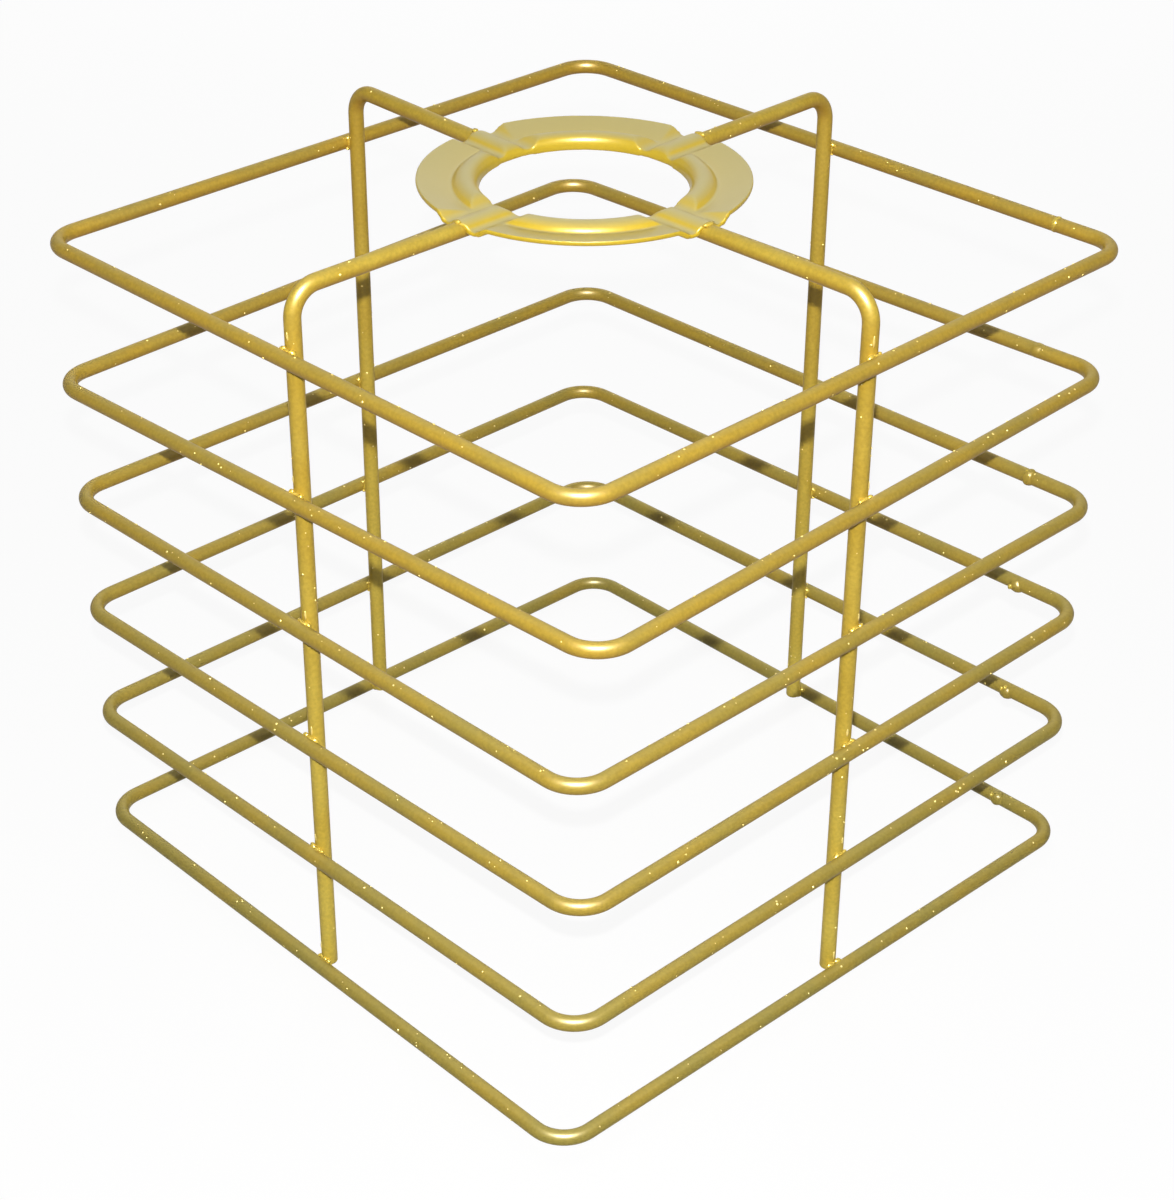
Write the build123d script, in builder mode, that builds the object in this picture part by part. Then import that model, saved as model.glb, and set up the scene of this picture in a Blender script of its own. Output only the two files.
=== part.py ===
"""Wire lampshade: six bent square rings, welded to four bent uprights that carry a pressed fitter washer.

Millimetres, +Z up. The lampshade stands on its lowest ring at Z = 0, centred on the Z axis, with one upright in
the middle of each side, where the X and Y axes pass.
"""

import os
from math import asin, cos, degrees, radians, sin, tan

from build123d import *

# Rings
SHADE_WIDTH = 150.0
RING_WIRE = 3.0
RING_BEND = 7.0
RING_PITCH = 27.1

# The rings were set by hand: how far each, from the bottom, stands off the even pitch, and its turn in degrees
RING_LIFT = (0.0, 0.4, -0.4, -1.6, -1.4, 0.1)
RING_TURN = (-1.3, -0.2, 0.4, 0.0, 2.0, 0.3)

# Butt weld that closes each ring, a lump beside one corner that stands high, so that the ring still lies flat
BUTT_FROM_CORNER = 16.0
BUTT_LENGTH = 5.2
BUTT_SWELL = 0.3
BUTT_LIFT = 0.36

# Uprights, each with an arm bent over at the top
UPRIGHT_WIRE = 3.2
UPRIGHT_BEND = 5.5
UPRIGHT_FOOT = 1.2
FOOT_ROUND = 0.5
ARM_RISE = 12.2

# The uprights were set by hand too: which way each arm points, in degrees from the X axis
UPRIGHT_TURN = {"right": 0.5, "back": 90.7, "left": 177.8, "front": 269.6}

# Cross welds: the two wires are pressed together by WELD_SET, and a nugget of weld fills the crook
WELD_SET = 0.4
WELD_NUGGET = 1.5

# Fitter washer, pressed from sheet: heights are of its upper face, over the flat floor beside the arms
FITTER_BORE = 40.0
FITTER_WIDTH = 64.0
SHEET = 1.0
LIP_DROP = 1.4
BEAD_CREST = 2.4
BEAD_FOOT = 5.2
BEAD_RISE = 1.6
RIM_RISE = 1.5
VALLEY_WIDTH = 8.4
VALLEY_SLOPE = 34.0
VALLEY_CLEARANCE = 0.03
VALLEY_FOOT_BEND = 2.8
VALLEY_BROW_BEND = 4.0
CHANNEL_DEPTH = 2.05
CHANNEL_FILLET = 1.0
CHANNEL_ROLL = 3.3
CHANNEL_ROLL_RISE = 0.05
ARM_END_GAP = 0.5
RIM_WELD = 1.1

# Places worked out from the sizes above
ring_half = (SHADE_WIDTH - RING_WIRE) / 2
ring_heights = [RING_WIRE / 2 + RING_PITCH * step + lift for step, lift in enumerate(RING_LIFT)]
upright_reach = ring_half - (RING_WIRE + UPRIGHT_WIRE) / 2 + WELD_SET
arm_height = ring_heights[-1] + ARM_RISE
bore_radius = FITTER_BORE / 2
rim_radius = FITTER_WIDTH / 2
arm_end = bore_radius + SHEET + ARM_END_GAP
floor_height = arm_height + UPRIGHT_WIRE / 2 - CHANNEL_DEPTH + SHEET
arch_radius = UPRIGHT_WIRE / 2 + SHEET
valley_rise = max(BEAD_RISE, RIM_RISE) + VALLEY_CLEARANCE


def heading(turn):
    """Level direction at an angle in degrees from the X axis."""
    return Vector(cos(radians(turn)), sin(radians(turn)), 0)


def plane_along(turn, height):
    """Standing plane with its X outwards along an arm and its Y up."""
    return Plane(origin=(0, 0, height), x_dir=heading(turn), z_dir=heading(turn - 90))


def plane_across(turn, height):
    """Standing plane with its X across an arm and its Y up, facing outwards."""
    return Plane(origin=(0, 0, height), x_dir=heading(turn + 90), z_dir=heading(turn))


def bent_ring(height, turn):
    """One length of wire bent to a rounded square, with the lump of weld that closes it."""
    level = Plane(origin=(0, 0, height), x_dir=heading(turn), z_dir=(0, 0, 1))
    butt = ring_half - BUTT_FROM_CORNER
    butt_centre = level.from_local_coords((butt, ring_half, BUTT_LIFT))
    with BuildPart() as ring:
        with BuildLine(level):
            corners = [(-ring_half, ring_half), (-ring_half, -ring_half)]
            corners += [(ring_half, -ring_half), (ring_half, ring_half)]
            centre_line = FilletPolyline(*corners, radius=RING_BEND, close=True)
        with BuildSketch(Plane(origin=centre_line @ 0, z_dir=centre_line % 0)):
            Circle(RING_WIRE / 2)
        sweep()
        with BuildSketch(Plane(origin=butt_centre, x_dir=level.x_dir, z_dir=level.z_dir)):
            with BuildLine():
                ends = [(-BUTT_LENGTH / 2, 0), (BUTT_LENGTH / 2, 0)]
                Line(*ends)
                ThreePointArc(ends[0], (0, RING_WIRE / 2 + BUTT_SWELL), ends[1])
            make_face()
        revolve(axis=Axis(butt_centre, level.x_dir))
    return ring


def bent_upright(turn, rings):
    """One length of wire bent over into an arm, with weld nuggets that bed against the rings."""
    side = plane_along(turn, 0)
    weld_reach = upright_reach + (UPRIGHT_WIRE - WELD_SET) / 2
    with BuildPart() as upright:
        with BuildLine(side):
            spine = FilletPolyline(
                (upright_reach, UPRIGHT_FOOT),
                (upright_reach, arm_height),
                (arm_end, arm_height),
                radius=UPRIGHT_BEND,
            )
        with BuildSketch(Plane(origin=spine @ 0, z_dir=spine % 0)):
            Circle(UPRIGHT_WIRE / 2)
        sweep()
        fillet(upright.edges().group_by(Axis.Z)[0], FOOT_ROUND)
        with Locations(*[side.from_local_coords((weld_reach, height, 0)) for height in ring_heights]):
            Sphere(WELD_NUGGET)
        for ring in rings:
            add(ring.part, mode=Mode.SUBTRACT)
    return upright


def press_form(sink):
    """Solid below one face of the pressed washer, running on past its rim and lip.

    The upper face has no sink, and the lower one is sunk by the sheet.
    """
    form_radius = rim_radius + arch_radius
    form_base = -LIP_DROP - arch_radius
    form_top = valley_rise + arch_radius
    crest = bore_radius + BEAD_CREST
    shoulder = BEAD_RISE - BEAD_CREST
    bead_radius = ((BEAD_FOOT - BEAD_CREST) ** 2 + BEAD_RISE**2) / (2 * BEAD_RISE)
    bead_centre = BEAD_RISE - bead_radius
    foot_angle = degrees(asin(-(sink + bead_centre) / (bead_radius - sink)))
    floor_half = VALLEY_WIDTH / 2 + sink * tan(radians(VALLEY_SLOPE / 2))
    brow_half = floor_half + valley_rise / tan(radians(VALLEY_SLOPE))
    brow = valley_rise - sink
    bends = [VALLEY_BROW_BEND - sink, VALLEY_FOOT_BEND + sink]
    with BuildPart() as form:
        with BuildSketch(plane_along(0, floor_height)):
            with BuildLine():
                lip = CenterArc((crest, shoulder), BEAD_CREST - sink, 180, -90)
                bead = CenterArc((crest, bead_centre), bead_radius - sink, 90, foot_angle - 90)
                Polyline(
                    bead @ 1,
                    (rim_radius, RIM_RISE - sink),
                    (form_radius, RIM_RISE - sink),
                    (form_radius, form_base),
                    (bore_radius + sink, form_base),
                    lip @ 0,
                )
            make_face()
        revolve(axis=Axis.Z)
        for turn in UPRIGHT_TURN.values():
            with BuildSketch(plane_across(turn, floor_height)):
                with BuildLine():
                    valley = FilletPolyline(
                        (-form_radius, brow),
                        (-brow_half, brow),
                        (-floor_half, -sink),
                        (floor_half, -sink),
                        (brow_half, brow),
                        (form_radius, brow),
                        radius=bends + bends[::-1],
                    )
                    Polyline(valley @ 1, (form_radius, form_top), (-form_radius, form_top), valley @ 0)
                make_face()
            extrude(amount=FITTER_WIDTH, mode=Mode.SUBTRACT)
    return form


def arm_arch(turn):
    """Solid arch along the top of one arm, rolled down at its inner end to the lip."""
    roll_top = arm_height + arch_radius - floor_height + CHANNEL_ROLL_RISE
    with BuildPart() as arch:
        with BuildSketch(plane_across(turn, floor_height)) as section:
            Rectangle(VALLEY_WIDTH, SHEET, align=(Align.CENTER, Align.MAX))
            with Locations((0, arm_height - floor_height)):
                Circle(arch_radius)
            feet = section.vertices().filter_by_position(Axis.X, -arch_radius, arch_radius)
            fillet(feet.group_by(Axis.Y)[-1], CHANNEL_FILLET)
        extrude(amount=rim_radius)
        with BuildSketch(plane_along(0, floor_height)):
            with BuildLine():
                roll = CenterArc((bore_radius + CHANNEL_ROLL, roll_top - CHANNEL_ROLL), CHANNEL_ROLL, 180, -90)
                Polyline(
                    roll @ 1,
                    (rim_radius, roll_top),
                    (rim_radius, -LIP_DROP),
                    (bore_radius, -LIP_DROP),
                    roll @ 0,
                )
            make_face()
        revolve(axis=Axis.Z, mode=Mode.INTERSECT)
    return arch


def pressed_fitter(uprights):
    """The washer: sheet between its two press forms, arched over the arms and welded to them at its rim."""
    upper = press_form(0)
    lower = press_form(SHEET)
    arches = [arm_arch(turn) for turn in UPRIGHT_TURN.values()]
    with BuildPart() as fitter:
        add(upper.part)
        with BuildSketch(Plane.XY.offset(floor_height - LIP_DROP)):
            Circle(rim_radius)
            Circle(bore_radius, mode=Mode.SUBTRACT)
        extrude(amount=LIP_DROP + valley_rise, mode=Mode.INTERSECT)
        for arch in arches:
            add(arch.part)
        add(lower.part, mode=Mode.SUBTRACT)
        for turn in UPRIGHT_TURN.values():
            weld_height = arm_height + (UPRIGHT_WIRE - RIM_WELD) / 2
            with Locations(plane_along(turn, weld_height).from_local_coords((rim_radius, 0, 0))):
                Sphere(RIM_WELD)
        for upright in uprights:
            add(upright.part, mode=Mode.SUBTRACT)
    return fitter


def write_piece(piece, node):
    """Label a finished piece and write it to its own file."""
    piece.part.label = node
    export_step(piece.part, f"parts/{node}.step")


os.makedirs("parts", exist_ok=True)

ring_pieces = [bent_ring(height, turn) for height, turn in zip(ring_heights, RING_TURN)]
upright_pieces = {name: bent_upright(turn, ring_pieces) for name, turn in UPRIGHT_TURN.items()}
fitter_piece = pressed_fitter(upright_pieces.values())

for number, ring_piece in enumerate(ring_pieces, start=1):
    write_piece(ring_piece, f"ring_{number}")
for name, upright_piece in upright_pieces.items():
    write_piece(upright_piece, f"upright_{name}")
write_piece(fitter_piece, "fitter")
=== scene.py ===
"""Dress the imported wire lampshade: gold-painted wires, weld beads and a pressed fitter washer.

The meshes are built in millimetres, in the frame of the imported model, and scaled to metres as they are
finished. The lampshade stands in a pale studio.
"""

import logging
from dataclasses import dataclass, field
from enum import Enum
from math import cos, pi, radians, sin, sqrt, tau
from random import Random

import bmesh
import bpy
from mathutils import Euler, Matrix, Quaternion, Vector, noise


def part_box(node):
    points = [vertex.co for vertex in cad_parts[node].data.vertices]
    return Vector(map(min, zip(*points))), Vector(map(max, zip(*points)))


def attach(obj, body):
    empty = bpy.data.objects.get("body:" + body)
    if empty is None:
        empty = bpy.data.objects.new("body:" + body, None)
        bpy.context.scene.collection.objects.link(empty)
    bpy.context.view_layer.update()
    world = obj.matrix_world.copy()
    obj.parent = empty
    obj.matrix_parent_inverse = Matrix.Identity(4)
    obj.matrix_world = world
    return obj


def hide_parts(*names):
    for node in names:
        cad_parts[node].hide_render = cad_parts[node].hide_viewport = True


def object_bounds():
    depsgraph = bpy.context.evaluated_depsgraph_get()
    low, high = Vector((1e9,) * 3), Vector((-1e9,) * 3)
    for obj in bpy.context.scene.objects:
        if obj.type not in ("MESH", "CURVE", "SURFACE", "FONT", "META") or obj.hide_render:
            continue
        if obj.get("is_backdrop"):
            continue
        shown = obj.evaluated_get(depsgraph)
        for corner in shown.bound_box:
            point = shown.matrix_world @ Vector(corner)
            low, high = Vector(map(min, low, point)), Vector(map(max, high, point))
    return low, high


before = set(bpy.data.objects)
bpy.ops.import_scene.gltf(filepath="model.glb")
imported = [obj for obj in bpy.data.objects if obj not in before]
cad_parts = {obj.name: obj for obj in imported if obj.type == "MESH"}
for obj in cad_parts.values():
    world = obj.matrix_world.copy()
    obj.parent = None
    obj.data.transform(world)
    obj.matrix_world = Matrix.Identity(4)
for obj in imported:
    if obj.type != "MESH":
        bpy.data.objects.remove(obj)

LOG = logging.getLogger("lampshade")
MM = 0.001
BODY = "root"

# Corners nearer than this, in millimetres, are taken as one
JOIN_DISTANCE = 0.01

Colour = tuple[float, float, float, float]
Span = tuple[float, float]
Inputs = dict[int | str, object]
Sockets = dict[str, str]

WHITE: Colour = (1.0, 1.0, 1.0, 1.0)


class Side(Enum):
    """The four sides of the lampshade, each with one upright in its middle."""

    RIGHT = "right"
    BACK = "back"
    LEFT = "left"
    FRONT = "front"


class Coat(Enum):
    """Which of a piece's paints a face takes, as the place of its material slot."""

    WIRE = 0
    WELD = 1
    SPECK = 2


class Lit(Enum):
    """Which pieces a lamp falls on."""

    ALL = "all"
    WIRES = "wires"
    WASHER = "washer"


class MixSocket(Enum):
    """Places of the colour sockets on a Mix node."""

    FACTOR = 0
    FIRST = 6
    SECOND = 7
    RESULT = 2


class NodeSheet:
    """A shader tree on which nodes are placed and joined."""

    def __init__(self, tree: bpy.types.NodeTree) -> None:
        """Keep the tree and clear it."""
        self.tree = tree
        self.tree.nodes.clear()

    def place(self, kind: str, inputs: Inputs | None = None, **settings: object) -> bpy.types.Node:
        """Place one node.

        Args:
            kind: Blender's name for the node.
            inputs: What each input takes, either a plain value or the socket that feeds it.
            settings: The node's own options.

        Returns:
            The new node.
        """
        node = self.tree.nodes.new(kind)
        for option, value in settings.items():
            setattr(node, option, value)
        for socket, value in (inputs or {}).items():
            if isinstance(value, bpy.types.NodeSocket):
                self.tree.links.new(value, node.inputs[socket])
            else:
                node.inputs[socket].default_value = value
        return node

    def math(self, operation: str, *values: object) -> bpy.types.NodeSocket:
        """Place one Math node and return its result."""
        return self.place("ShaderNodeMath", dict(enumerate(values)), operation=operation).outputs[0]

    def mix(self, factor: object, first: object, second: object, blend: str = "MIX") -> bpy.types.NodeSocket:
        """Mix two colours.

        Args:
            factor: How much of the second colour shows.
            first: The colour underneath.
            second: The colour on top.
            blend: Blender's name for the way they mix.

        Returns:
            The mixed colour.
        """
        inputs = {
            MixSocket.FACTOR.value: factor,
            MixSocket.FIRST.value: first,
            MixSocket.SECOND.value: second,
        }
        node = self.place("ShaderNodeMix", inputs, data_type="RGBA", blend_type=blend)
        return node.outputs[MixSocket.RESULT.value]

    def ramp(
        self, value: object, low: object, high: object, start: object = 0.0, end: object = 1.0
    ) -> bpy.types.NodeSocket:
        """Stretch a value.

        Args:
            value: The value that comes in.
            low: What comes in at the start.
            high: What comes in at the end.
            start: What goes out at the start.
            end: What goes out at the end.

        Returns:
            The stretched value, held between start and end.
        """
        inputs = {"Value": value, "From Min": low, "From Max": high, "To Min": start, "To Max": end}
        return self.place("ShaderNodeMapRange", inputs).outputs["Result"]


class PaintEffects:
    """Shader node groups that the paints share, each built once."""

    # Painted light and shade by height: the share of olive at the foot and at the top.
    OLIVE_AT_FOOT = 0.85
    OLIVE_AT_TOP = 0.15
    NOISE_MIDDLE = 0.5
    NOISE_SPAN: Span = (0.3, 0.7)
    SPECKLE_SPAN: Span = (0.75, 1.25)
    # Spans of the normal's upward part over which the painted shade underneath and the painted highlight on
    # top come in.
    SHADE_SPAN: Span = (0.45, -0.5)
    HIGHLIGHT_SPAN: Span = (0.74, 1.0)
    DRIFT_DETAIL = 2.0
    DRIFT_ROUGHNESS = 0.4
    FLAKE_DETAIL = 1.0
    SKIN_DETAIL = 2.0

    def __init__(self) -> None:
        """Build the groups."""
        self.mottle_and_painted_light = self.build_mottle_and_painted_light()
        self.painted_highlight_and_shade = self.build_painted_highlight_and_shade()
        self.skin = self.build_skin()

    @staticmethod
    def new_group(name: str, inputs: Sockets, outputs: Sockets) -> tuple[bpy.types.NodeTree, NodeSheet]:
        """Make an empty group with its sockets.

        Args:
            name: The group's name.
            inputs: Kind of each input socket, by name.
            outputs: Kind of each output socket, by name.

        Returns:
            The group and the sheet that its nodes are placed on.
        """
        group = bpy.data.node_groups.new(name, "ShaderNodeTree")
        for way, sockets in (("INPUT", inputs), ("OUTPUT", outputs)):
            for socket, kind in sockets.items():
                group.interface.new_socket(socket, in_out=way, socket_type=kind)
        return group, NodeSheet(group)

    def build_mottle_and_painted_light(self) -> bpy.types.NodeTree:
        """Uneven tone of metallic paint in broad drifts, with fine flake, over painted light and shade by
        height: warm above and olive below.

        Returns:
            The group.
        """
        colours = {"Warm": "NodeSocketColor", "Olive": "NodeSocketColor"}
        names = ("Foot", "Top", "Drift Scale", "Drift", "Flake Scale", "Flake")
        inputs = {"Vector": "NodeSocketVector"} | colours | {name: "NodeSocketFloat" for name in names}
        group, sheet = self.new_group("paint_mottle_and_painted_light", inputs, {"Color": "NodeSocketColor"})
        given = sheet.place("NodeGroupInput").outputs
        height = sheet.place("ShaderNodeSeparateXYZ", {"Vector": given["Vector"]}).outputs["Z"]
        # Painted light and shade by height, from warm at the top to olive at the foot.
        painted_light_by_height = sheet.ramp(height, given["Foot"], given["Top"], self.OLIVE_AT_FOOT, self.OLIVE_AT_TOP)
        drift_inputs = {
            "Vector": given["Vector"],
            "Scale": given["Drift Scale"],
            "Detail": self.DRIFT_DETAIL,
            "Roughness": self.DRIFT_ROUGHNESS,
        }
        noise_value = sheet.place("ShaderNodeTexNoise", drift_inputs).outputs["Fac"]
        swing = sheet.math("SUBTRACT", noise_value, self.NOISE_MIDDLE)
        drift = sheet.math("MULTIPLY", swing, given["Drift"])
        tone = sheet.mix(sheet.math("ADD", painted_light_by_height, drift), given["Warm"], given["Olive"])
        flake_inputs = {
            "Vector": given["Vector"],
            "Scale": given["Flake Scale"],
            "Detail": self.FLAKE_DETAIL,
        }
        flake = sheet.place("ShaderNodeTexNoise", flake_inputs).outputs["Fac"]
        speckle = sheet.ramp(flake, *self.NOISE_SPAN, *self.SPECKLE_SPAN)
        shades = sheet.place("ShaderNodeCombineColor", {"Red": speckle, "Green": speckle, "Blue": speckle})
        result = sheet.mix(given["Flake"], tone, shades.outputs["Color"], "MULTIPLY")
        sheet.place("NodeGroupOutput", {"Color": result})
        return group

    def build_painted_highlight_and_shade(self) -> bpy.types.NodeTree:
        """Painted light: a pale painted highlight on faces that look up, and a brown painted shade on faces
        that look down, stronger higher up.

        Returns:
            The group.
        """
        colours = {name: "NodeSocketColor" for name in ("Color", "Highlight Colour", "Shade Colour")}
        values = {name: "NodeSocketFloat" for name in ("Foot", "Top", "Highlight Share", "Under Shade")}
        inputs = {"Vector": "NodeSocketVector", "Normal": "NodeSocketVector"} | colours | values
        group, sheet = self.new_group("painted_top_highlight_under_shade", inputs, {"Color": "NodeSocketColor"})
        given = sheet.place("NodeGroupInput").outputs
        level = sheet.place("ShaderNodeSeparateXYZ", {"Vector": given["Normal"]}).outputs["Z"]
        height = sheet.place("ShaderNodeSeparateXYZ", {"Vector": given["Vector"]}).outputs["Z"]
        raised = sheet.ramp(height, given["Foot"], given["Top"])
        # Painted shade on faces that look down, stronger higher up.
        shade_mask = sheet.math("MULTIPLY", sheet.ramp(level, *self.SHADE_SPAN), raised)
        under_shade_weight = sheet.math("MULTIPLY", shade_mask, given["Under Shade"])
        under_shade = sheet.mix(under_shade_weight, given["Color"], given["Shade Colour"])
        # Painted highlight on faces that look up.
        highlight_share = sheet.math("MULTIPLY", sheet.ramp(level, *self.HIGHLIGHT_SPAN), given["Highlight Share"])
        sheet.place("NodeGroupOutput", {"Color": sheet.mix(highlight_share, under_shade, given["Highlight Colour"])})
        return group

    def build_skin(self) -> bpy.types.NodeTree:
        """Relief of a sprayed coat, in soft waves and fine grain, with the gloss that goes with it.

        Returns:
            The group.
        """
        values = ("Wave Scale", "Grain Scale", "Grain", "Rough Low", "Rough High")
        inputs = {"Vector": "NodeSocketVector"} | {name: "NodeSocketFloat" for name in values}
        outputs = {"Height": "NodeSocketFloat", "Roughness": "NodeSocketFloat"}
        group, sheet = self.new_group("paint_skin", inputs, outputs)
        given = sheet.place("NodeGroupInput").outputs
        shared = {"Vector": given["Vector"], "Detail": self.SKIN_DETAIL}
        wave_inputs = shared | {"Scale": given["Wave Scale"]}
        wave = sheet.place("ShaderNodeTexNoise", wave_inputs).outputs["Fac"]
        grain_inputs = shared | {"Scale": given["Grain Scale"]}
        grain = sheet.place("ShaderNodeTexNoise", grain_inputs).outputs["Fac"]
        height = sheet.math("MULTIPLY_ADD", grain, given["Grain"], wave)
        rough = sheet.ramp(wave, *self.NOISE_SPAN, given["Rough Low"], given["Rough High"])
        sheet.place("NodeGroupOutput", {"Height": height, "Roughness": rough})
        return group


@dataclass(frozen=True)
class GoldPaint:
    """One sprayed gold paint: colours are linear, scales are per metre, heights and relief in millimetres."""

    name: str
    # warm and olive: the tone at the top and at the foot, blended by height as painted light and shade
    warm: Colour
    olive: Colour
    metallic: float
    rough_low: float
    rough_high: float
    # Painted light: the colour and share of a pale painted highlight on faces that look up, and of a brown
    # painted shade on faces that look down.
    highlight_colour: Colour = (0.6, 0.5, 0.16, 1.0)
    shade_colour: Colour = (0.3, 0.15, 0.02, 1.0)
    highlight_share: float = 0.25
    under_shade: float = 0.65
    edge_tint: Colour = (0.62, 0.46, 0.24, 1.0)
    gloss_level: float = 0.1
    foot: float = 0.0
    top: float = 150.0
    drift_scale: float = 90.0
    drift: float = 1.2
    flake_scale: float = 1500.0
    flake: float = 0.35
    wave_scale: float = 320.0
    grain_scale: float = 2300.0
    grain: float = 0.2
    relief: float = 0.02
    coat: float = 0.45
    coat_roughness: float = 0.38
    coat_ior: float = 1.5

    def material(self, effects: PaintEffects) -> bpy.types.Material:
        """Make the paint.

        Args:
            effects: The node groups that the paints share.

        Returns:
            The material.
        """
        paint = bpy.data.materials.new(self.name)
        paint.use_nodes = True
        sheet = NodeSheet(paint.node_tree)
        place = sheet.place("ShaderNodeTexCoord").outputs["Object"]
        tone_inputs = {
            "Vector": place,
            "Warm": self.warm,
            "Olive": self.olive,
            "Foot": self.foot * MM,
            "Top": self.top * MM,
            "Drift Scale": self.drift_scale,
            "Drift": self.drift,
            "Flake Scale": self.flake_scale,
            "Flake": self.flake,
        }
        tone = sheet.place("ShaderNodeGroup", tone_inputs, node_tree=effects.mottle_and_painted_light)
        # Painted highlight on top and painted shade underneath.
        painted_light_inputs = {
            "Vector": place,
            "Normal": sheet.place("ShaderNodeNewGeometry").outputs["Normal"],
            "Color": tone.outputs["Color"],
            "Highlight Colour": self.highlight_colour,
            "Shade Colour": self.shade_colour,
            "Foot": self.foot * MM,
            "Top": self.top * MM,
            "Highlight Share": self.highlight_share,
            "Under Shade": self.under_shade,
        }
        painted_light_tone = sheet.place("ShaderNodeGroup", painted_light_inputs, node_tree=effects.painted_highlight_and_shade)
        skin_inputs = {
            "Vector": place,
            "Wave Scale": self.wave_scale,
            "Grain Scale": self.grain_scale,
            "Grain": self.grain,
            "Rough Low": self.rough_low,
            "Rough High": self.rough_high,
        }
        skin = sheet.place("ShaderNodeGroup", skin_inputs, node_tree=effects.skin)
        bump_inputs = {"Strength": 1.0, "Distance": self.relief * MM, "Height": skin.outputs["Height"]}
        bump = sheet.place("ShaderNodeBump", bump_inputs)
        edge = sheet.place("ShaderNodeLayerWeight").outputs["Facing"]
        gloss = sheet.math("MULTIPLY", sheet.math("SUBTRACT", 1.0, edge), self.coat)
        shader_inputs = {
            "Base Color": painted_light_tone.outputs["Color"],
            "Metallic": self.metallic,
            "Roughness": skin.outputs["Roughness"],
            "Normal": bump.outputs["Normal"],
            "Specular IOR Level": self.gloss_level,
            "Specular Tint": self.edge_tint,
            "Coat Weight": gloss,
            "Coat Roughness": self.coat_roughness,
            "Coat IOR": self.coat_ior,
        }
        shader = sheet.place("ShaderNodeBsdfPrincipled", shader_inputs)
        sheet.place("ShaderNodeOutputMaterial", {"Surface": shader.outputs["BSDF"]})
        return paint


WIRE_PAINT = GoldPaint(
    name="gold_wire_paint",
    warm=(0.485, 0.312, 0.028, 1.0),
    olive=(0.33, 0.262, 0.048, 1.0),
    metallic=0.06,
    rough_low=0.38,
    rough_high=0.46,
)
UPRIGHT_PAINT = GoldPaint(
    name="gold_upright_paint",
    warm=(0.52, 0.348, 0.03, 1.0),
    olive=(0.64, 0.485, 0.075, 1.0),
    metallic=0.06,
    rough_low=0.38,
    rough_high=0.46,
    wave_scale=260.0,
)
WASHER_PAINT = GoldPaint(
    name="gold_washer_paint",
    warm=(0.68, 0.475, 0.022, 1.0),
    olive=(0.62, 0.45, 0.03, 1.0),
    metallic=0.1,
    rough_low=0.28,
    rough_high=0.34,
    # A strong pale painted reflection on the washer's faces that look up, and a weaker brown painted shade
    # underneath.
    highlight_colour=(0.64, 0.55, 0.22, 1.0),
    highlight_share=0.9,
    under_shade=0.3,
    edge_tint=WHITE,
    flake=0.1,
    wave_scale=160.0,
    grain=0.15,
    coat=0.7,
    coat_roughness=0.3,
)
# Painted highlight: the weld lumps take a paint paler and brighter than the wire's, so that they show bright.
WELD_PAINT = GoldPaint(
    name="gold_weld_paint_painted_highlight",
    warm=(0.72, 0.52, 0.07, 1.0),
    olive=(0.62, 0.48, 0.08, 1.0),
    metallic=0.12,
    rough_low=0.22,
    rough_high=0.32,
    drift_scale=260.0,
    wave_scale=700.0,
    relief=0.06,
    coat=0.3,
    coat_roughness=0.28,
)
# Painted glint: the specks and paint runs take a paint far paler and brighter than the wire's, so that they
# show bright.
SPECK_GLINT_PAINT = GoldPaint(
    name="gold_speck_paint_painted_glint",
    warm=(0.95, 0.76, 0.22, 1.0),
    olive=(0.9, 0.76, 0.3, 1.0),
    metallic=0.2,
    rough_low=0.3,
    rough_high=0.4,
    drift_scale=300.0,
    coat=0.2,
    coat_roughness=0.35,
)


@dataclass(frozen=True)
class Lump:
    """One blob of weld or paint: half of its length along each of its own axes, in millimetres."""

    size: tuple[float, float, float]
    rounds: int = 2
    uneven: float = 0.3
    coat: Coat = Coat.WELD


class MeshBench:
    """A mesh in millimetres that pieces are shaped on."""

    SEED_SPAN: Span = (0.0, 50.0)
    SEED_SKEW = 0.37
    SWELL_SCALE = 1.4

    def __init__(self) -> None:
        """Start with nothing on the bench."""
        self.mesh = bmesh.new()

    def add_lump(self, place: Matrix, lump: Lump, dice: Random) -> None:
        """Add one uneven blob of weld or paint.

        Args:
            place: Where its middle is and how it is turned.
            lump: Its size, unevenness and paint.
            dice: Makes its unevenness its own.
        """
        made = bmesh.ops.create_icosphere(self.mesh, subdivisions=lump.rounds, radius=1.0)
        seed = dice.uniform(*self.SEED_SPAN)
        offset = Vector((seed, seed * self.SEED_SKEW, -seed))
        for vert in made["verts"]:
            swell = noise.noise(vert.co * self.SWELL_SCALE + offset)
            vert.co *= 1.0 + lump.uneven * swell
        shape = place @ Matrix.Diagonal((*lump.size, 1.0))
        bmesh.ops.transform(self.mesh, matrix=shape, space=Matrix(), verts=made["verts"])
        for face in {face for vert in made["verts"] for face in vert.link_faces}:
            face.material_index = lump.coat.value

    def finish(self, name: str, node: str, paints: list[bpy.types.Material]) -> bpy.types.Object:
        """Make the mesh a finished piece of the lampshade.

        Args:
            name: The piece's name.
            node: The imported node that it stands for.
            paints: The paints of its faces, in the order of Coat.

        Returns:
            The piece.
        """
        bmesh.ops.scale(self.mesh, vec=(MM, MM, MM), verts=self.mesh.verts)
        for face in self.mesh.faces:
            face.smooth = True
        data = bpy.data.meshes.new(name)
        self.mesh.to_mesh(data)
        self.mesh.free()
        for paint in paints:
            data.materials.append(paint)
        piece = bpy.data.objects.new(name, data)
        bpy.context.scene.collection.objects.link(piece)
        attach(piece, BODY)
        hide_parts(node)
        LOG.info("%s: %d faces, stands for %s", name, len(data.polygons), node)
        return piece


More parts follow.
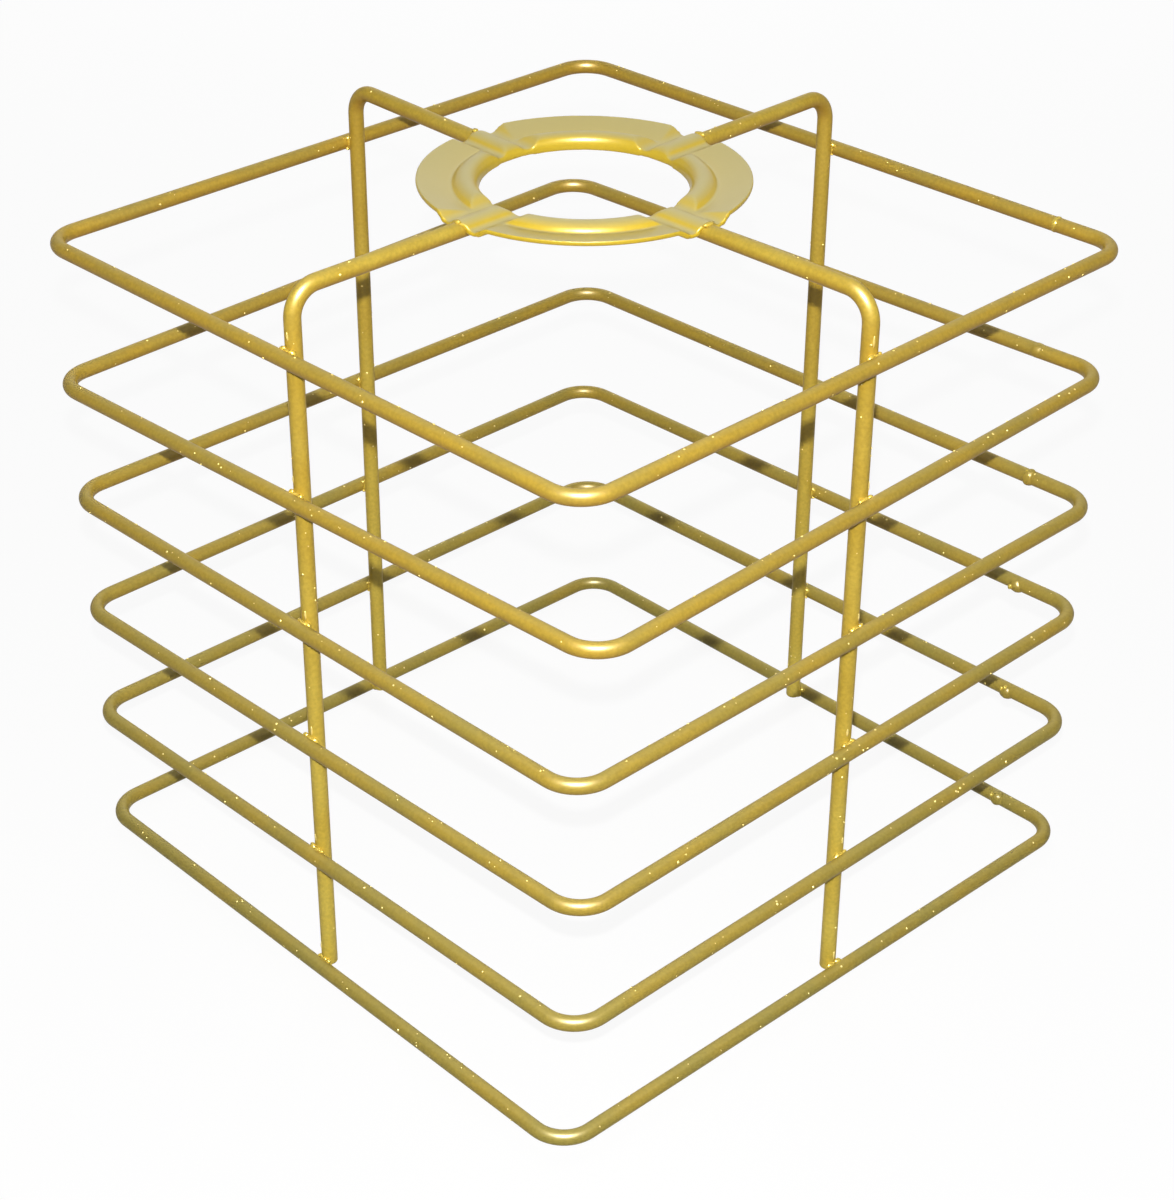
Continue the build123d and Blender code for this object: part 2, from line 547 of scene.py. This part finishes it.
@dataclass
class WireStock:
    """Round wire that is drawn straight or bent onwards from its open end."""

    bench: MeshBench
    diameter: float
    facets: int = 36
    straight_step: float = 7.0
    bend_steps: int = 14
    end: list[bmesh.types.BMEdge] = field(default_factory=list)

    def start(self, place: Matrix) -> None:
        """Cut the wire's first end.

        Args:
            place: Where the end is, with its Z axis along the wire.
        """
        made = bmesh.ops.create_circle(
            self.bench.mesh, cap_ends=False, segments=self.facets, radius=self.diameter / 2, matrix=place
        )
        self.end = list({edge for vert in made["verts"] for edge in vert.link_edges})

    def spin_on(self, **way: object) -> None:
        """Carry the open end onwards, by a spin or a slide.

        Args:
            way: What Blender's spin takes for its centre, axis, angle, slide and steps.
        """
        corners = list({vert for edge in self.end for vert in edge.verts})
        made = bmesh.ops.spin(
            self.bench.mesh, geom=corners + self.end, use_merge=False, use_duplicate=False, **way
        )
        self.end = [item for item in made["geom_last"] if isinstance(item, bmesh.types.BMEdge)]

    def draw(self, run: Vector) -> None:
        """Draw the wire straight on, by a run."""
        steps = max(1, round(run.length / self.straight_step))
        self.spin_on(cent=(0, 0, 0), axis=(0, 0, 1), dvec=run / steps, angle=0.0, steps=steps)

    def bend(self, centre: Vector, axis: Vector, angle: float) -> None:
        """Bend the wire round a centre, by an angle in radians."""
        self.spin_on(cent=centre, axis=axis, dvec=(0, 0, 0), angle=angle, steps=self.bend_steps)

    def close(self) -> None:
        """Join the ends where they meet, cap those that stay open and turn every face outwards."""
        mesh = self.bench.mesh
        bmesh.ops.remove_doubles(mesh, verts=mesh.verts, dist=JOIN_DISTANCE)
        open_edges = [edge for edge in mesh.edges if edge.is_boundary]
        bmesh.ops.holes_fill(mesh, edges=open_edges, sides=0)
        bmesh.ops.recalc_face_normals(mesh, faces=mesh.faces)


@dataclass
class PaintSpecks:
    """Dry grains of paint that stand on a wire, sown at random along it, but not on its underside."""

    spacing: float = 4.5
    smallest: float = 0.13
    largest: float = 0.33
    height: float = 0.5
    lowest: float = -0.5

    def sow(self, bench: MeshBench, start: Vector, end: Vector, radius: float, dice: Random) -> None:
        """Sow grains on one straight run.

        Args:
            bench: The mesh that the wire is on.
            start: Where the run's centre line starts.
            end: Where it ends.
            radius: The wire's radius.
            dice: Gives the places.
        """
        run = end - start
        turn = run.to_track_quat("Z", "Y")
        for _ in range(round(run.length / self.spacing)):
            around = dice.uniform(0.0, tau)
            size = self.smallest + (self.largest - self.smallest) * dice.random() ** 2
            out = turn @ Vector((cos(around), sin(around), 0.0))
            if out.z < self.lowest:
                out.negate()
            middle = start + run * dice.random() + out * radius
            place = Matrix.Translation(middle) @ out.to_track_quat("Z", "Y").to_matrix().to_4x4()
            bench.add_lump(place, Lump((size, size, size * self.height), rounds=1, coat=Coat.SPECK), dice)


@dataclass(frozen=True)
class ButtSplash:
    """How splashes lie on a butt weld: angles in radians from outwards over the top, sizes in millimetres."""

    around: Span = (1.2, 3.4)
    along: Span = (-1.0, 1.0)
    size: Span = (0.4, 0.6)
    rise: float = 1.35
    stretch: float = 1.2
    uneven: float = 0.2


@dataclass
class WireRing:
    """One length of wire bent to a rounded square and closed by a butt weld; sizes in millimetres."""

    node: str
    turn: float
    width: float = 150.0
    wire: float = 3.0
    bend_radius: float = 7.0
    butt_from_corner: float = 16.0
    splashes: int = 1
    butt: Lump = Lump((1.9, 1.62, 1.62), rounds=3, uneven=0.12, coat=Coat.WIRE)
    butt_lift: float = 0.3
    butt_inset: float = 0.4
    splash: ButtSplash = ButtSplash()

    @property
    def half(self) -> float:
        """Half of the ring's width, between centre lines."""
        return (self.width - self.wire) / 2

    @property
    def height(self) -> float:
        """Height of its centre line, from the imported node."""
        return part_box(self.node)[0].z / MM + self.wire / 2

    def bend_wire(self, bench: MeshBench) -> None:
        """Draw the four sides and bend the four corners.

        Args:
            bench: The mesh that the wire is made on.
        """
        reach = self.half - self.bend_radius
        stock = WireStock(bench, self.wire)
        stock.start(Matrix.Translation((self.half, -reach, 0.0)) @ Matrix.Rotation(pi / 2, 4, "X"))
        for quarter in range(4):
            turned = Matrix.Rotation(quarter * pi / 2, 3, "Z")
            stock.draw(turned @ Vector((0.0, 2 * reach, 0.0)))
            stock.bend(turned @ Vector((reach, reach, 0.0)), Vector((0.0, 0.0, 1.0)), pi / 2)
        stock.close()

    def close_butt(self, bench: MeshBench, dice: Random) -> None:
        """Weld the wire's two ends together, with a lump and a few splashes on top.

        Args:
            bench: The mesh that the wire is on.
            dice: Gives the splashes' places and sizes.
        """
        reach = self.half - self.butt_from_corner
        middle = Vector((reach, self.half - self.butt_inset, self.butt_lift))
        bench.add_lump(Matrix.Translation(middle), self.butt, dice)
        for _ in range(self.splashes):
            around = dice.uniform(*self.splash.around)
            along = dice.uniform(*self.splash.along)
            out = Vector((0.0, cos(around), sin(around)))
            size = dice.uniform(*self.splash.size)
            wide = size * self.splash.stretch
            place = Matrix.Translation(middle + out * self.splash.rise + Vector((along, 0.0, 0.0)))
            bench.add_lump(place, Lump((size, wide, wide), uneven=self.splash.uneven), dice)

    def sow_specks(self, bench: MeshBench, dice: Random) -> None:
        """Leave dry grains on the four sides.

        Args:
            bench: The mesh that the wire is on.
            dice: Gives the grains' places.
        """
        reach = self.half - self.bend_radius
        for quarter in range(4):
            turned = Matrix.Rotation(quarter * pi / 2, 3, "Z")
            ends = [turned @ Vector((self.half, way * reach, 0.0)) for way in (-1, 1)]
            PaintSpecks().sow(bench, *ends, self.wire / 2, dice)

    def dress(self, paints: dict[str, bpy.types.Material]) -> bpy.types.Object:
        """Build the ring.

        Args:
            paints: The paints by name.

        Returns:
            The finished piece.
        """
        bench = MeshBench()
        dice = Random(self.node)
        self.bend_wire(bench)
        self.close_butt(bench, dice)
        self.sow_specks(bench, dice)
        turned = Matrix.Rotation(radians(self.turn), 4, "Z")
        place = Matrix.Translation((0.0, 0.0, self.height)) @ turned
        bmesh.ops.transform(bench.mesh, matrix=place, space=Matrix(), verts=bench.mesh.verts)
        coats = [paints[use] for use in ("wire", "weld", "speck")]
        return bench.finish(f"{self.node}_wire", self.node, coats)


@dataclass(frozen=True)
class CrossWeld:
    """How the weld between an upright and a ring looks; sizes in millimetres, angles in radians."""

    nugget: float = 1.5
    nugget_uneven: float = 0.2
    floor_gap: float = 0.3
    flash_size: Span = (0.5, 0.8)
    flash_shape: tuple[float, float, float] = (0.8, 1.2, 0.75)
    flash_uneven: float = 0.22
    flash_out: Span = (-0.05, 0.15)
    flash_across: Span = (1.05, 1.4)
    flash_rise: Span = (0.95, 1.15)
    flash_tilt: float = 0.6
    flash_turn: float = 0.5
    lower_share: float = 0.65
    ridge: Lump = Lump((0.32, 1.1, 0.26))
    ridge_out: float = 0.2
    ridge_slip: float = 0.4
    ridge_rise: float = 1.3
    run_slip: float = 0.7
    run_sink: float = 0.08
    run_rise: Span = (2.8, 4.4)
    run_section: tuple[float, float] = (0.22, 0.28)
    run_length: Span = (0.7, 1.3)


@dataclass
class Upright:
    """One length of wire bent over into an arm and welded to every ring from inside; sizes in millimetres."""

    side: Side
    turn: float
    ring_heights: list[float]
    wire: float = 3.2
    bend_radius: float = 5.5
    reach: float = 70.8
    foot: float = 1.2
    foot_round: float = 0.5
    foot_facets: int = 4
    foot_profile: float = 0.5
    arm_end: float = 22.4
    arm_height: float = 149.3
    weld_set: float = 0.4
    weld: CrossWeld = CrossWeld()

    @property
    def node(self) -> str:
        """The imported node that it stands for."""
        return f"upright_{self.side.value}"

    def bend_wire(self, bench: MeshBench) -> None:
        """Draw the wire up from its foot, bend it over and draw the arm in.

        Args:
            bench: The mesh that the wire is made on.
        """
        rise = self.arm_height - self.bend_radius - self.foot
        stock = WireStock(bench, self.wire)
        stock.start(Matrix.Translation((self.reach, 0.0, self.foot)))
        stock.draw(Vector((0.0, 0.0, rise)))
        centre = Vector((self.reach - self.bend_radius, 0.0, self.arm_height - self.bend_radius))
        stock.bend(centre, Vector((0.0, -1.0, 0.0)), pi / 2)
        stock.draw(Vector((self.arm_end - centre.x, 0.0, 0.0)))
        stock.close()
        rim = [
            edge
            for edge in bench.mesh.edges
            if all(abs(vert.co.z - self.foot) < JOIN_DISTANCE for vert in edge.verts)
        ]
        bmesh.ops.bevel(
            bench.mesh,
            geom=rim,
            offset=self.foot_round,
            offset_type="OFFSET",
            affect="EDGES",
            segments=self.foot_facets,
            profile=self.foot_profile,
            material=-1,
        )

    def weld_crossing(self, bench: MeshBench, height: float, dice: Random) -> None:
        """Weld the wire to one ring: the nugget, flash squeezed into the crooks and a run of paint above.

        Args:
            bench: The mesh that the wire is on.
            height: The ring's height.
            dice: Gives the unevenness.
        """
        weld = self.weld
        contact = Vector((self.reach + (self.wire - self.weld_set) / 2, 0.0, height))
        tall = min(weld.nugget, height - weld.floor_gap)
        nugget = Lump((weld.nugget, weld.nugget, tall), rounds=3, uneven=weld.nugget_uneven)
        bench.add_lump(Matrix.Translation(contact), nugget, dice)
        levels = (1, -1) if height > self.wire else (1,)
        for way in (-1, 1):
            for level in levels:
                self.squeeze_flash(bench, contact, way, level, dice)
        slip = dice.uniform(-weld.ridge_slip, weld.ridge_slip)
        ridge = contact + Vector((weld.ridge_out, slip, weld.ridge_rise))
        bench.add_lump(Matrix.Translation(ridge), weld.ridge, dice)
        across = dice.uniform(-weld.run_slip, weld.run_slip)
        out = sqrt((self.wire / 2) ** 2 - across**2)
        run = Vector((self.reach + out - weld.run_sink, across, height + dice.uniform(*weld.run_rise)))
        # The run takes the pale speck paint: a painted highlight.
        drip = Lump((*weld.run_section, dice.uniform(*weld.run_length)), coat=Coat.SPECK)
        bench.add_lump(Matrix.Translation(run), drip, dice)

    def squeeze_flash(self, bench: MeshBench, contact: Vector, way: int, level: int, dice: Random) -> None:
        """Add one lump of flash in a crook beside a weld.

        Args:
            bench: The mesh that the wire is on.
            contact: The middle of the weld.
            way: Which side of the upright, 1 or -1.
            level: 1 above the ring, -1 below it.
            dice: Gives the size, place and turn.
        """
        weld = self.weld
        size = dice.uniform(*weld.flash_size) * (1.0 if level > 0 else weld.lower_share)
        across = way * dice.uniform(*weld.flash_across)
        out = dice.uniform(*weld.flash_out)
        middle = contact + Vector((out, across, level * dice.uniform(*weld.flash_rise)))
        tilt = dice.uniform(-weld.flash_tilt, weld.flash_tilt)
        turned = Euler((tilt, 0.0, dice.uniform(-weld.flash_turn, weld.flash_turn))).to_matrix().to_4x4()
        blob = Lump(tuple(size * share for share in weld.flash_shape), uneven=weld.flash_uneven)
        bench.add_lump(Matrix.Translation(middle) @ turned, blob, dice)

    def sow_specks(self, bench: MeshBench, dice: Random) -> None:
        """Leave dry grains on the standing run and on the arm.

        Args:
            bench: The mesh that the wire is on.
            dice: Gives the grains' places.
        """
        foot = Vector((self.reach, 0.0, self.foot + self.bend_radius))
        top = Vector((self.reach, 0.0, self.arm_height - self.bend_radius))
        shoulder = Vector((self.reach - self.bend_radius, 0.0, self.arm_height))
        inner = Vector((self.arm_end + self.bend_radius, 0.0, self.arm_height))
        for start, end in ((foot, top), (shoulder, inner)):
            PaintSpecks().sow(bench, start, end, self.wire / 2, dice)

    def dress(self, paints: dict[str, bpy.types.Material]) -> bpy.types.Object:
        """Build the upright.

        Args:
            paints: The paints by name.

        Returns:
            The finished piece.
        """
        bench = MeshBench()
        dice = Random(self.node)
        self.bend_wire(bench)
        for height in self.ring_heights:
            self.weld_crossing(bench, height, dice)
        self.sow_specks(bench, dice)
        turned = Matrix.Rotation(radians(self.turn), 4, "Z")
        bmesh.ops.transform(bench.mesh, matrix=turned, space=Matrix(), verts=bench.mesh.verts)
        coats = [paints[use] for use in ("upright", "weld", "speck")]
        return bench.finish(f"{self.node}_wire", self.node, coats)


@dataclass
class FitterWasher:
    """The pressed washer, with its edges softened by paint; sizes in millimetres."""

    turns: dict[Side, float]
    node: str = "fitter"
    join: float = 0.002
    cell: float = 0.25
    softening: int = 8
    smoothing: float = 0.5
    rim: float = 32.0
    weld_height: float = 150.9
    weld_out: float = 0.15
    weld_slip: float = 0.3
    weld_thickness: tuple[float, float] = (0.6, 0.55)
    ridge_half: float = 1.4
    nub_half: float = 0.7
    valley_floor: float = 149.85
    arch_half: float = 3.2
    arch_foot: float = 4.6
    arch_sink: float = 0.36
    arch_passes: int = 14

    def soften(self) -> bpy.types.Mesh:
        """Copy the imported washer, divide its skin evenly and round its edges.

        Returns:
            The softened mesh, in metres.
        """
        bench = bmesh.new()
        bench.from_mesh(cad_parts[self.node].data)
        bmesh.ops.remove_doubles(bench, verts=bench.verts, dist=self.join * MM)
        data = bpy.data.meshes.new("fitter_blank")
        bench.to_mesh(data)
        bench.free()
        blank = bpy.data.objects.new("fitter_blank", data)
        bpy.context.scene.collection.objects.link(blank)
        skin = blank.modifiers.new("even_skin", "REMESH")
        skin.mode = "VOXEL"
        skin.voxel_size = self.cell * MM
        edges = blank.modifiers.new("soft_edges", "SMOOTH")
        edges.factor = self.smoothing
        edges.iterations = self.softening
        evaluated = blank.evaluated_get(bpy.context.evaluated_depsgraph_get())
        softened = bpy.data.meshes.new_from_object(evaluated)
        bpy.data.objects.remove(blank)
        bpy.data.meshes.remove(data)
        return softened

    def ease_arches(self, bench: MeshBench) -> None:
        """Press the arches over the arms a little flatter and blend them into the valleys.

        Args:
            bench: The mesh that the washer is on.
        """
        eased = []
        for turn in self.turns.values():
            inwards = Matrix.Rotation(-radians(turn), 3, "Z")
            for vert in bench.mesh.verts:
                place = inwards @ vert.co
                if place.x < 0.0 or abs(place.y) > self.arch_foot:
                    continue
                share = min(1.0, (self.arch_foot - abs(place.y)) / (self.arch_foot - self.arch_half))
                vert.co.z -= self.arch_sink * share * max(0.0, vert.co.z - self.valley_floor)
                eased.append(vert)
        axes = {"use_axis_x": True, "use_axis_y": True, "use_axis_z": True}
        for _ in range(self.arch_passes):
            bmesh.ops.smooth_vert(bench.mesh, verts=eased, factor=self.smoothing, **axes)

    def weld_rim(self, bench: MeshBench, dice: Random) -> None:
        """Weld the rim to each arm, with a short ridge across the arm or a single nub.

        Args:
            bench: The mesh that the washer is on.
            dice: Gives the welds' places.
        """
        deep, tall = self.weld_thickness
        for side, turn in self.turns.items():
            length = self.ridge_half if side in (Side.RIGHT, Side.BACK) else self.nub_half
            turned = Matrix.Rotation(radians(turn), 4, "Z")
            slip = dice.uniform(-self.weld_slip, self.weld_slip)
            place = turned @ Matrix.Translation((self.rim + self.weld_out, slip, self.weld_height))
            bench.add_lump(place, Lump((deep, length, tall)), dice)

    def dress(self, paints: dict[str, bpy.types.Material]) -> bpy.types.Object:
        """Build the washer.

        Args:
            paints: The paints by name.

        Returns:
            The finished piece.
        """
        bench = MeshBench()
        bench.mesh.from_mesh(self.soften())
        bmesh.ops.scale(bench.mesh, vec=(1 / MM, 1 / MM, 1 / MM), verts=bench.mesh.verts)
        self.ease_arches(bench)
        self.weld_rim(bench, Random(self.node))
        return bench.finish(f"{self.node}_washer", self.node, [paints["washer"], paints["weld"]])


@dataclass(frozen=True)
class SoftLamp:
    """A round studio lamp that faces the lampshade; lengths in metres, angles in degrees, power in watts."""

    name: str
    azimuth: float
    elevation: float
    distance: float
    size: float
    power: float
    diffuse: bool = True
    mirrored: bool = True
    lit: Lit = Lit.ALL

    def hang(self, aim: Vector, pieces: dict[Lit, list[bpy.types.Object]]) -> None:
        """Hang the lamp round the point that it faces.

        Args:
            aim: The point.
            pieces: The pieces that a lamp may be kept to.
        """
        level = radians(self.elevation)
        way = radians(self.azimuth)
        back = Vector((sin(way) * cos(level), -cos(way) * cos(level), sin(level)))
        lamp = bpy.data.lights.new(self.name, "AREA")
        lamp.shape = "DISK"
        lamp.size = self.size
        lamp.energy = self.power
        fitting = bpy.data.objects.new(self.name, lamp)
        fitting.location = aim + back * self.distance
        fitting.visible_camera = False
        fitting.visible_diffuse = self.diffuse
        fitting.visible_glossy = self.mirrored
        fitting.rotation_euler = (-back).to_track_quat("-Z", "Y").to_euler()
        bpy.context.scene.collection.objects.link(fitting)
        if self.lit in pieces:
            lit_pieces = bpy.data.collections.new(f"{self.name}_pieces")
            fitting.light_linking.receiver_collection = lit_pieces
            for piece in pieces[self.lit]:
                lit_pieces.objects.link(piece)


@dataclass(frozen=True)
class StudioCamera:
    """The camera, for a picture of 1174 by 1200 pixels; lengths in millimetres, angles in degrees."""

    eye: tuple[float, float, float] = (327.2, -321.6, 333.7)
    aim: tuple[float, float, float] = (0.7, 0.7, 57.3)
    roll: float = 0.36
    focal_pixels: float = 2572.0
    picture_height: float = 1200.0
    sensor: float = 36.0
    nearest: float = 10.0

    def set_up(self) -> None:
        """Place the camera and make it the scene's."""
        camera = bpy.data.cameras.new("studio_camera")
        camera.sensor_width = self.sensor
        camera.lens = self.sensor * self.focal_pixels / self.picture_height
        camera.clip_start = self.nearest * MM
        stand = bpy.data.objects.new("studio_camera", camera)
        eye = Vector(self.eye) * MM
        look = (Vector(self.aim) * MM - eye).to_track_quat("-Z", "Y")
        stand.rotation_mode = "QUATERNION"
        stand.rotation_quaternion = look @ Quaternion((0.0, 0.0, 1.0), radians(self.roll))
        stand.location = eye
        bpy.context.scene.collection.objects.link(stand)
        bpy.context.scene.camera = stand


@dataclass(frozen=True)
class PaleStudio:
    """A white floor and surround, with soft lamps; lengths in metres."""

    floor_size: float = 30.0
    floor_cells: int = 8
    floor_grey: float = 0.25
    floor_white: float = 0.95
    shadow_share: float = 0.08
    ambient: float = 0.02
    lamps: tuple[SoftLamp, ...] = (
        SoftLamp("front_lamp", 45.3, 31.9, distance=0.526, size=0.006, power=2.75, mirrored=False),
        SoftLamp("wire_glint", 46.0, 50.0, 0.8, size=0.3, power=64.0, diffuse=False, lit=Lit.WIRES),
        SoftLamp("washer_glint", 46.0, 58.0, 0.8, size=0.2, power=14.0, diffuse=False, lit=Lit.WASHER),
        SoftLamp("right_lamp", 95.0, 42.0, distance=1.1, size=0.6, power=0.8),
        SoftLamp("back_lamp", 225.0, 22.0, distance=1.2, size=0.8, power=8.0, mirrored=False),
    )

    @staticmethod
    def shown_rays(sheet: NodeSheet) -> bpy.types.NodeSocket:
        """Find the rays that show the background: straight, mirrored or through glass.

        Args:
            sheet: The tree that asks.

        Returns:
            One for those rays, and nought for the rest.
        """
        rays = sheet.place("ShaderNodeLightPath").outputs
        mirrored = sheet.math("MAXIMUM", rays["Is Camera Ray"], rays["Is Glossy Ray"])
        return sheet.math("MAXIMUM", mirrored, rays["Is Transmission Ray"])

    def paper(self) -> bpy.types.Material:
        """The floor's white paper, which keeps the shadows on it.

        Returns:
            The material.
        """
        paper = bpy.data.materials.new("white_paper")
        paper.use_nodes = True
        sheet = NodeSheet(paper.node_tree)
        shown = self.shown_rays(sheet)
        tones = [(grey, grey, grey, 1.0) for grey in (self.floor_grey, self.floor_white)]
        matt = sheet.place("ShaderNodeBsdfDiffuse", {"Color": sheet.mix(shown, *tones)})
        glow = sheet.place("ShaderNodeEmission", {"Color": WHITE, "Strength": 1.0})
        share = sheet.math("MULTIPLY", shown, 1.0 - self.shadow_share)
        layers = {0: share, 1: matt.outputs["BSDF"], 2: glow.outputs["Emission"]}
        surface = sheet.place("ShaderNodeMixShader", layers).outputs["Shader"]
        sheet.place("ShaderNodeOutputMaterial", {"Surface": surface})
        return paper

    def lay_floor(self) -> None:
        """Lay the floor under the lampshade."""
        bench = bmesh.new()
        cells = {"x_segments": self.floor_cells, "y_segments": self.floor_cells}
        bmesh.ops.create_grid(bench, size=self.floor_size / 2, **cells)
        data = bpy.data.meshes.new("studio_floor")
        bench.to_mesh(data)
        bench.free()
        data.materials.append(self.paper())
        floor = bpy.data.objects.new("studio_floor", data)
        bpy.context.scene.collection.objects.link(floor)
        floor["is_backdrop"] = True

    def surround(self) -> None:
        """Close the studio with a white surround that lights the lampshade softly."""
        world = bpy.data.worlds.new("pale_surround")
        world.use_nodes = True
        sheet = NodeSheet(world.node_tree)
        shown = self.shown_rays(sheet)
        dim = sheet.place("ShaderNodeBackground", {"Color": WHITE, "Strength": self.ambient})
        plain = sheet.place("ShaderNodeBackground", {"Color": WHITE, "Strength": 1.0})
        layers = {0: shown, 1: dim.outputs["Background"], 2: plain.outputs["Background"]}
        surface = sheet.place("ShaderNodeMixShader", layers).outputs["Shader"]
        sheet.place("ShaderNodeOutputWorld", {"Surface": surface})
        bpy.context.scene.world = world

    def set_up(self, aim: Vector, pieces: dict[Lit, list[bpy.types.Object]]) -> None:
        """Lay the floor, close the surround and hang the lamps.

        Args:
            aim: The point that the lamps face.
            pieces: The pieces that a lamp may be kept to.
        """
        self.lay_floor()
        self.surround()
        for lamp in self.lamps:
            lamp.hang(aim, pieces)
        bpy.context.scene.view_settings.view_transform = "Standard"


HEAVY_BUTT = Lump((1.5, 1.85, 1.9), rounds=3, uneven=0.2, coat=Coat.WIRE)
SLIGHT_BUTT = Lump((2.4, 1.58, 1.56), rounds=3, uneven=0.08, coat=Coat.WIRE)
BUTT_BAND = Lump((1.3, 1.58, 1.58), rounds=3, uneven=0.12, coat=Coat.WELD)
RINGS = (
    WireRing("ring_1", turn=-1.3, splashes=1, butt_inset=0.7),
    WireRing("ring_2", turn=-0.2, splashes=2, butt_lift=-0.3),
    WireRing("ring_3", turn=0.4, splashes=1, butt_lift=-0.3),
    WireRing("ring_4", turn=0.0, splashes=2, butt=HEAVY_BUTT, butt_lift=0.1),
    WireRing("ring_5", turn=2.0, splashes=0, butt=SLIGHT_BUTT, butt_lift=0.05, butt_inset=0.1),
    WireRing("ring_6", turn=0.3, splashes=0, butt=BUTT_BAND, butt_lift=0.05, butt_inset=0.0),
)
UPRIGHT_TURNS = {Side.RIGHT: 0.5, Side.BACK: 90.7, Side.LEFT: 177.8, Side.FRONT: 269.6}


def main() -> None:
    """Build the lampshade's pieces, the studio and the camera."""
    logging.basicConfig(level=logging.INFO, format="%(name)s: %(message)s")
    packed_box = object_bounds()
    effects = PaintEffects()
    finishes = {
        "wire": WIRE_PAINT,
        "upright": UPRIGHT_PAINT,
        "washer": WASHER_PAINT,
        "weld": WELD_PAINT,
        "speck": SPECK_GLINT_PAINT,
    }
    paints = {use: finish.material(effects) for use, finish in finishes.items()}
    wires = [ring.dress(paints) for ring in RINGS]
    heights = [ring.height for ring in RINGS]
    wires += [Upright(side, turn, heights).dress(paints) for side, turn in UPRIGHT_TURNS.items()]
    washer = FitterWasher(UPRIGHT_TURNS).dress(paints)
    middle = (packed_box[0] + packed_box[1]) / 2
    PaleStudio().set_up(middle, {Lit.WIRES: wires, Lit.WASHER: [washer]})
    StudioCamera().set_up()


if __name__ == "__main__":
    main()
